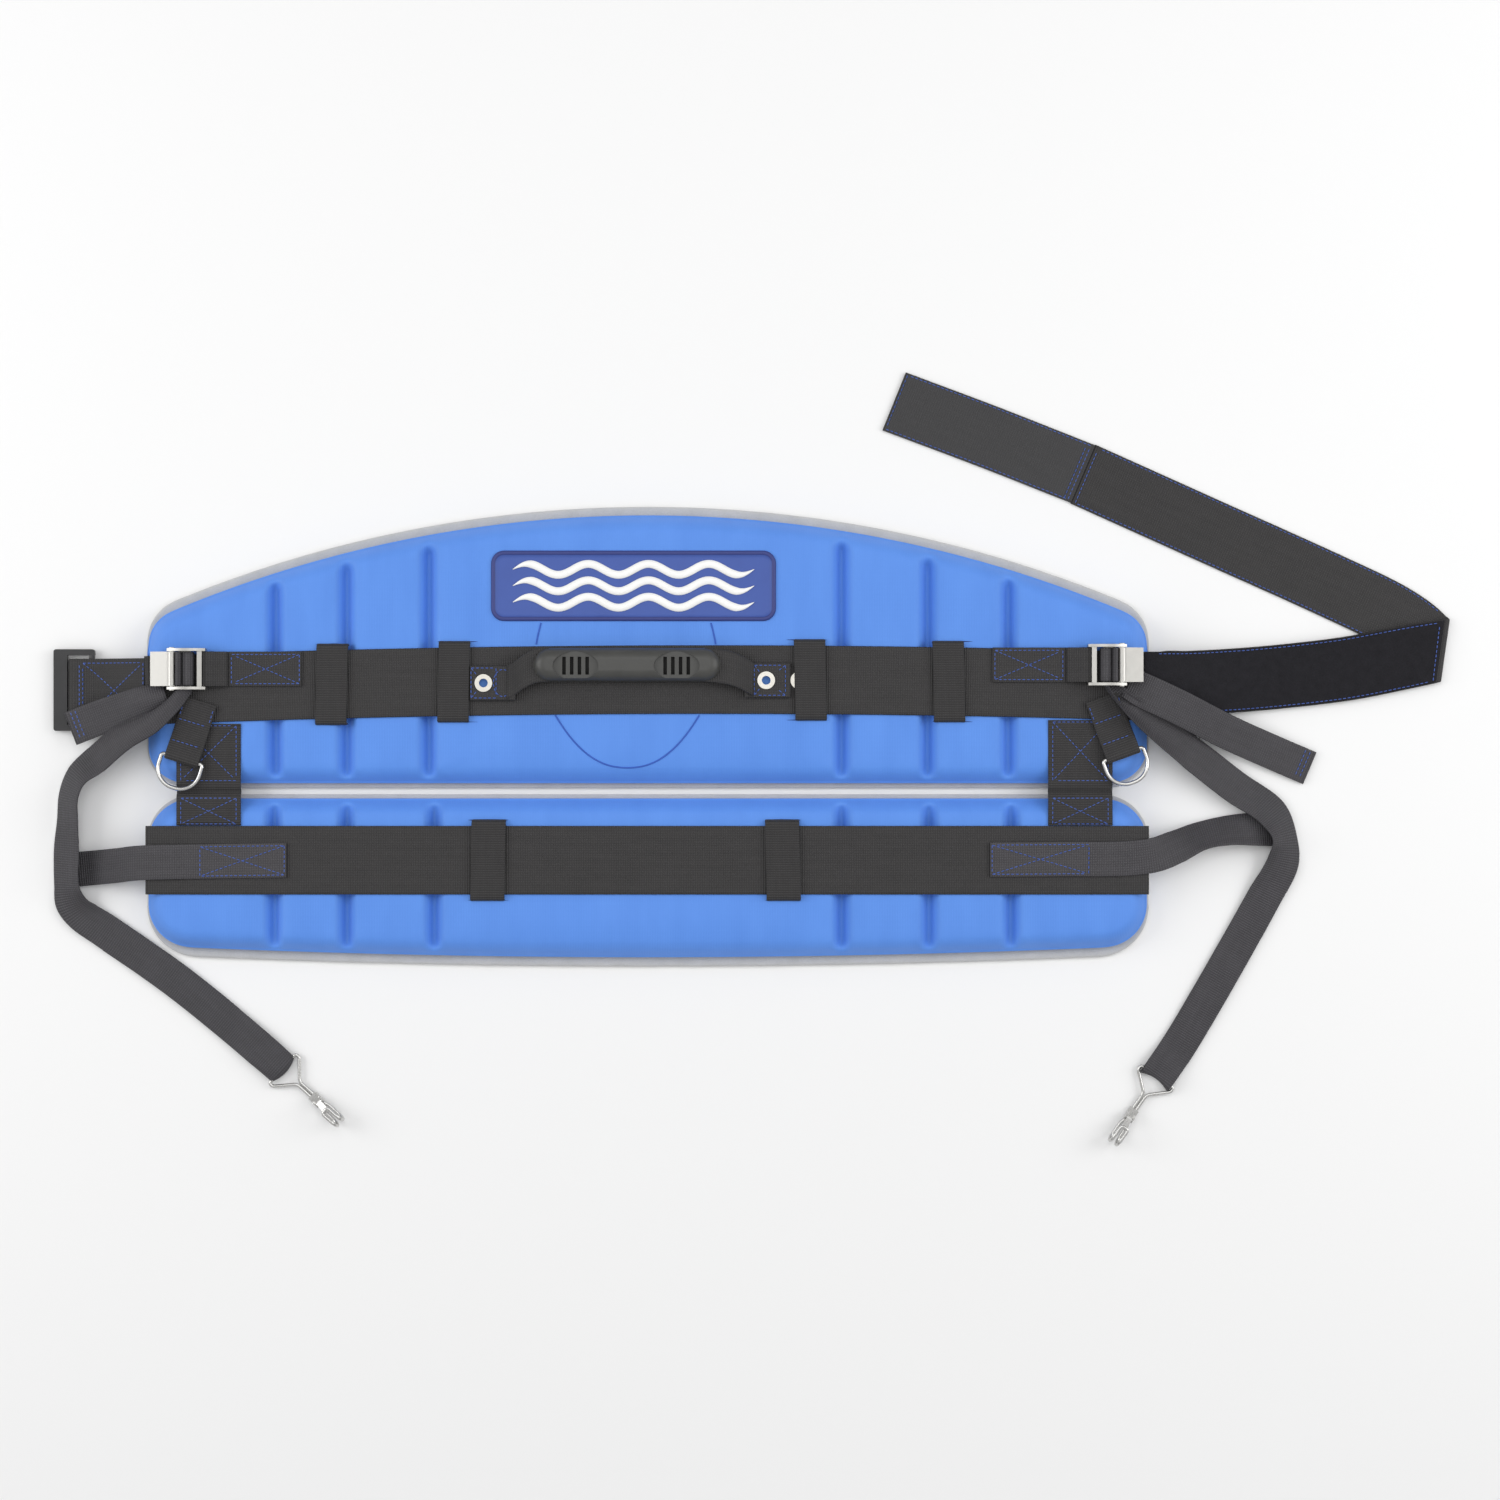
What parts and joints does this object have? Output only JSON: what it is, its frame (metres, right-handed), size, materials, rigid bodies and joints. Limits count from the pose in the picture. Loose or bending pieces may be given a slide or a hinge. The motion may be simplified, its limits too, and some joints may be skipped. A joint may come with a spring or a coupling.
{
  "type": "fishing harness",
  "caption": "Stand-up fishing harness laid flat: padded back and seat pads, wide belts, cam buckles, D-rings, carry handle and wire snap hooks on straps.",
  "frame": {"origin": "on the back pad's lining face, under the wide belt, midway between the pads' ends", "axes": "+X along the pads towards the waist belt's long end, +Y from the seat pad to the back pad's crowned edge, +Z from the lining out through the cover"},
  "size_m": [1.0259, 0.5683, 0.0383],
  "materials": {
    "lining": "brushed knit lining",
    "cover": "moulded polyester fabric",
    "foam": "closed-cell foam",
    "badge": "matt",
    "badge_art": "matt",
    "webbing": "woven polyester",
    "loop_tape": "fuzzy loop pile",
    "hook_tape": "woven, hooks below",
    "steel": "polished stainless",
    "spring_steel": "satin",
    "grip": "satin moulded rubber",
    "plastic": "matt acetal"
  },
  "bodies": {
    "back_pad": {"back_lining": "lining", "back_foam": "foam", "back_cover": "cover", "badge_plate": "badge", "badge_motif": "badge_art", "back_belt": "webbing", "back_keeper_1": "webbing", "back_keeper_2": "webbing", "back_keeper_3": "webbing", "back_keeper_4": "webbing", "grommets": "steel", "left_belt_loop": "webbing", "waist_belt": "webbing", "loop_tape": "loop_tape", "left_buckle_anchor": "webbing", "left_buckle_frame": "steel", "left_buckle_pin": "steel", "left_buckle_spring": "spring_steel", "left_d_ring_tab": "webbing", "left_upper_connector": "webbing", "left_handle_anchor": "webbing", "left_hook_strap": "webbing", "left_strap_tail": "webbing", "right_buckle_anchor": "webbing", "right_buckle_frame": "steel", "right_buckle_pin": "steel", "right_buckle_spring": "spring_steel", "right_d_ring_tab": "webbing", "right_upper_connector": "webbing", "right_handle_anchor": "webbing", "right_hook_strap": "webbing", "right_strap_tail": "webbing"},
    "seat_pad": {"seat_lining": "lining", "seat_foam": "foam", "seat_cover": "cover", "seat_belt": "webbing", "seat_keeper_1": "webbing", "seat_keeper_2": "webbing", "left_lower_connector": "webbing", "left_seat_strap": "webbing", "right_lower_connector": "webbing", "right_seat_strap": "webbing"},
    "handle": {"handle_grip": "grip", "handle_webbing": "webbing"},
    "slide": {"slide_loop": "plastic"},
    "belt_tail": {"waist_belt_tail": "webbing", "hook_tape": "hook_tape"},
    "left_lever": {"left_buckle_lever": "steel"},
    "left_ring": {"left_d_ring": "steel"},
    "left_hook": {"left_hook_wire": "steel", "left_hook_collar": "steel"},
    "left_gate": {"left_hook_gate": "steel"},
    "right_lever": {"right_buckle_lever": "steel"},
    "right_ring": {"right_d_ring": "steel"},
    "right_hook": {"right_hook_wire": "steel", "right_hook_collar": "steel"},
    "right_gate": {"right_hook_gate": "steel"}
  },
  "joints": [
    {"name": "seat_fold", "type": "hinge", "parent": "back_pad", "child": "seat_pad", "pos_m": [0, -0.0743, 0.006], "axis": [1, 0, 0], "range_deg": [-20, 45]},
    {"name": "handle_lift", "type": "hinge", "parent": "back_pad", "child": "handle", "pos_m": [-0.0144, 0.0055, 0.024], "axis": [1, 0, 0], "range_deg": [0, 100]},
    {"name": "slide_swing", "type": "hinge", "parent": "back_pad", "child": "slide", "pos_m": [-0.4084, 0.002, 0.0039], "axis": [0, 1, 0], "range_deg": [-75, 10]},
    {"name": "belt_unfold", "type": "hinge", "parent": "back_pad", "child": "belt_tail", "pos_m": [0.5844, 0.029, 0.00185], "axis": [-0.1392, -0.9903, 0], "range_deg": [0, 180]},
    {"name": "left_lever_pivot", "type": "hinge", "parent": "back_pad", "child": "left_lever", "pos_m": [-0.3455, 0.015, 0.02895], "axis": [0, 1, 0], "range_deg": [0, 55], "stiffness_Nm_per_rad": 0.02, "springref_deg": -20.05},
    {"name": "left_ring_swing", "type": "hinge", "parent": "back_pad", "child": "left_ring", "pos_m": [-0.3385, -0.0505, 0.02505], "axis": [-0.9563, 0.2924, 0], "range_deg": [0, 110]},
    {"name": "left_hook_swing", "type": "hinge", "parent": "back_pad", "child": "left_hook", "pos_m": [-0.2686, -0.2782, 0.0029], "axis": [-0.6691, -0.7431, 0], "range_deg": [-100, 100]},
    {"name": "left_gate_open", "type": "hinge", "parent": "left_hook", "child": "left_gate", "pos_m": [-0.2411, -0.30296, 0.0068], "axis": [0.6691, 0.7431, 0], "range_deg": [0, 28], "stiffness_Nm_per_rad": 0.004, "springref_deg": -17.19},
    {"name": "right_lever_pivot", "type": "hinge", "parent": "back_pad", "child": "right_lever", "pos_m": [0.3455, 0.018, 0.02895], "axis": [0, -1, 0], "range_deg": [0, 55], "stiffness_Nm_per_rad": 0.02, "springref_deg": -20.05},
    {"name": "right_ring_swing", "type": "hinge", "parent": "back_pad", "child": "right_ring", "pos_m": [0.3465, -0.047, 0.02505], "axis": [-0.9397, -0.342, 0], "range_deg": [0, 110]},
    {"name": "right_hook_swing", "type": "hinge", "parent": "back_pad", "child": "right_hook", "pos_m": [0.3743, -0.2841, 0.0029], "axis": [-0.8192, 0.5736, 0], "range_deg": [-100, 100]},
    {"name": "right_gate_open", "type": "hinge", "parent": "right_hook", "child": "right_gate", "pos_m": [0.35308, -0.31441, 0.0068], "axis": [0.8192, -0.5736, 0], "range_deg": [0, 28], "stiffness_Nm_per_rad": 0.004, "springref_deg": -17.19}
  ]
}
